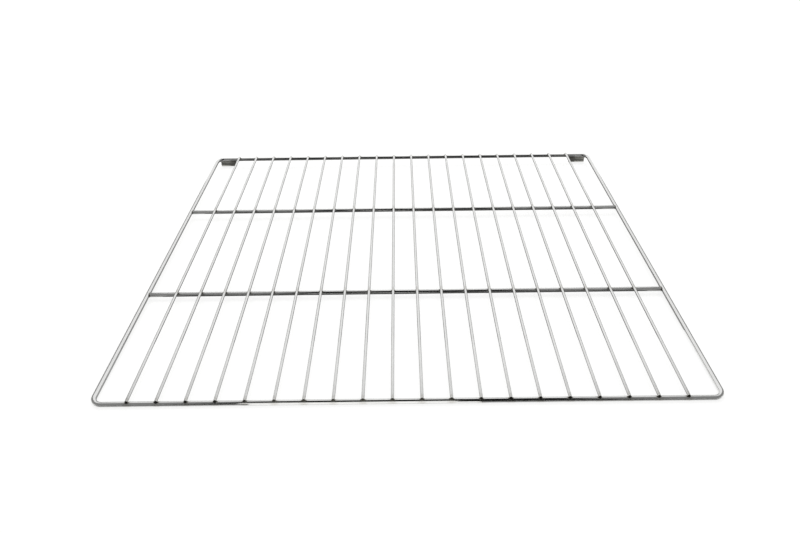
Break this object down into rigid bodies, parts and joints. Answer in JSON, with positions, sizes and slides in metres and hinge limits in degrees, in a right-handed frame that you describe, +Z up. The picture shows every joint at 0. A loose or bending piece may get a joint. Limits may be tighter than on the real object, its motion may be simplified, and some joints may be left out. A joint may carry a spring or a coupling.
{
  "type": "refrigerator wire shelf",
  "caption": "Flat refrigerator shelf of bright plated steel wire: a bent rectangular frame, cross wires, a deck of close thin wires welded on top, and flat tabs at the rear corners.",
  "frame": {"origin": "middle of the shelf's outline, level with the lower edge of the rear tabs", "axes": "+X to the right along the cross wires, +Y from the front edge to the back along the deck wires, +Z up through the deck"},
  "size_m": [0.6, 0.5217, 0.0181],
  "materials": {
    "plated_wire": "bright plated drawn steel wire",
    "plated_strip": "plated rolled steel strip, duller than the wire"
  },
  "bodies": {
    "root": {"frame_wire": "plated_wire", "cross_wire_front": "plated_wire", "cross_wire_rear": "plated_wire", "deck_wire_01": "plated_wire", "deck_wire_02": "plated_wire", "deck_wire_03": "plated_wire", "deck_wire_04": "plated_wire", "deck_wire_05": "plated_wire", "deck_wire_06": "plated_wire", "deck_wire_07": "plated_wire", "deck_wire_08": "plated_wire", "deck_wire_09": "plated_wire", "deck_wire_10": "plated_wire", "deck_wire_11": "plated_wire", "deck_wire_12": "plated_wire", "deck_wire_13": "plated_wire", "deck_wire_14": "plated_wire", "deck_wire_15": "plated_wire", "deck_wire_16": "plated_wire", "deck_wire_17": "plated_wire", "deck_wire_18": "plated_wire", "deck_wire_19": "plated_wire", "deck_wire_20": "plated_wire", "rear_tab_left": "plated_strip", "rear_tab_right": "plated_strip"}
  },
  "joints": []
}
